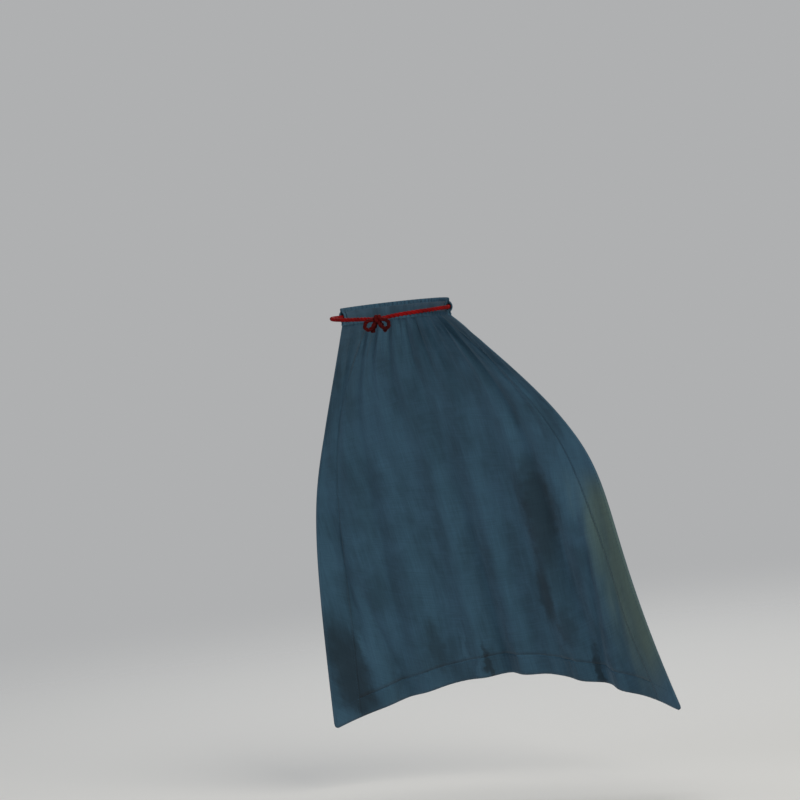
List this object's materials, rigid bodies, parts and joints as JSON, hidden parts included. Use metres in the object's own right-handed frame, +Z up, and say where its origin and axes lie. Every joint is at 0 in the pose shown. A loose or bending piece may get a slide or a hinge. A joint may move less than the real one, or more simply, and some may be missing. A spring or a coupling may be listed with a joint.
{
  "type": "superhero cape",
  "caption": "Child's dark blue superhero cape, lined and faced, gathered onto a drawcord neck channel tied in a bow at the front, blown back as in flight.",
  "frame": {"origin": "centre of the neck loop, on the middle line of its cord", "axes": "+Z up; the wearer faces -Y and the cloth streams back towards +Y; +X is the wearer's left"},
  "size_m": [0.4728, 0.3627, 0.5456],
  "materials": {
    "cape_cloth": "matt slate blue woven cotton",
    "lining_cloth": "matt slate blue woven lining, finer than the cape cloth",
    "drawcord": "matt dark red twisted cord",
    "bow_cord": "matt darker red twisted cord, knotted",
    "neck_tape": "herringbone cotton tape, dark blue",
    "sewing_thread": "dense dark blue stitching"
  },
  "bodies": {
    "neckline": {"neck_casing": "cape_cloth", "neck_tape": "neck_tape", "left_bar_tack": "sewing_thread", "right_bar_tack": "sewing_thread", "drawcord_back": "drawcord", "drawcord_left": "drawcord", "drawcord_right": "drawcord", "bow_knot": "bow_cord", "gathered_heading": "cape_cloth"},
    "cape": {"cape_outer": "cape_cloth", "cape_lining": "lining_cloth", "left_front_facing": "cape_cloth", "right_front_facing": "cape_cloth", "hem_facing": "cape_cloth"},
    "left_loop": {"bow_loop_left": "bow_cord"},
    "right_loop": {"bow_loop_right": "bow_cord"},
    "left_tail": {"bow_tail_left": "bow_cord", "tail_knot_left": "bow_cord"},
    "right_tail": {"bow_tail_right": "bow_cord", "tail_knot_right": "bow_cord"}
  },
  "joints": [
    {"name": "cape_swing", "type": "hinge", "parent": "neckline", "child": "cape", "pos_m": [0, 0.04, -0.005], "axis": [1, 0, 0], "range_deg": [-25, 50]},
    {"name": "left_loop_flop", "type": "hinge", "parent": "neckline", "child": "left_loop", "pos_m": [0.008, -0.062, -0.005], "axis": [0, 1, 0], "range_deg": [-25, 7]},
    {"name": "right_loop_flop", "type": "hinge", "parent": "neckline", "child": "right_loop", "pos_m": [0.008, -0.062, -0.005], "axis": [0, 1, 0], "range_deg": [-7, 25]},
    {"name": "left_tail_swing", "type": "hinge", "parent": "neckline", "child": "left_tail", "pos_m": [0.008, -0.062, -0.005], "axis": [0, 1, 0], "range_deg": [-8, 6]},
    {"name": "right_tail_swing", "type": "hinge", "parent": "neckline", "child": "right_tail", "pos_m": [0.008, -0.062, -0.005], "axis": [0, 1, 0], "range_deg": [-6, 8]}
  ]
}
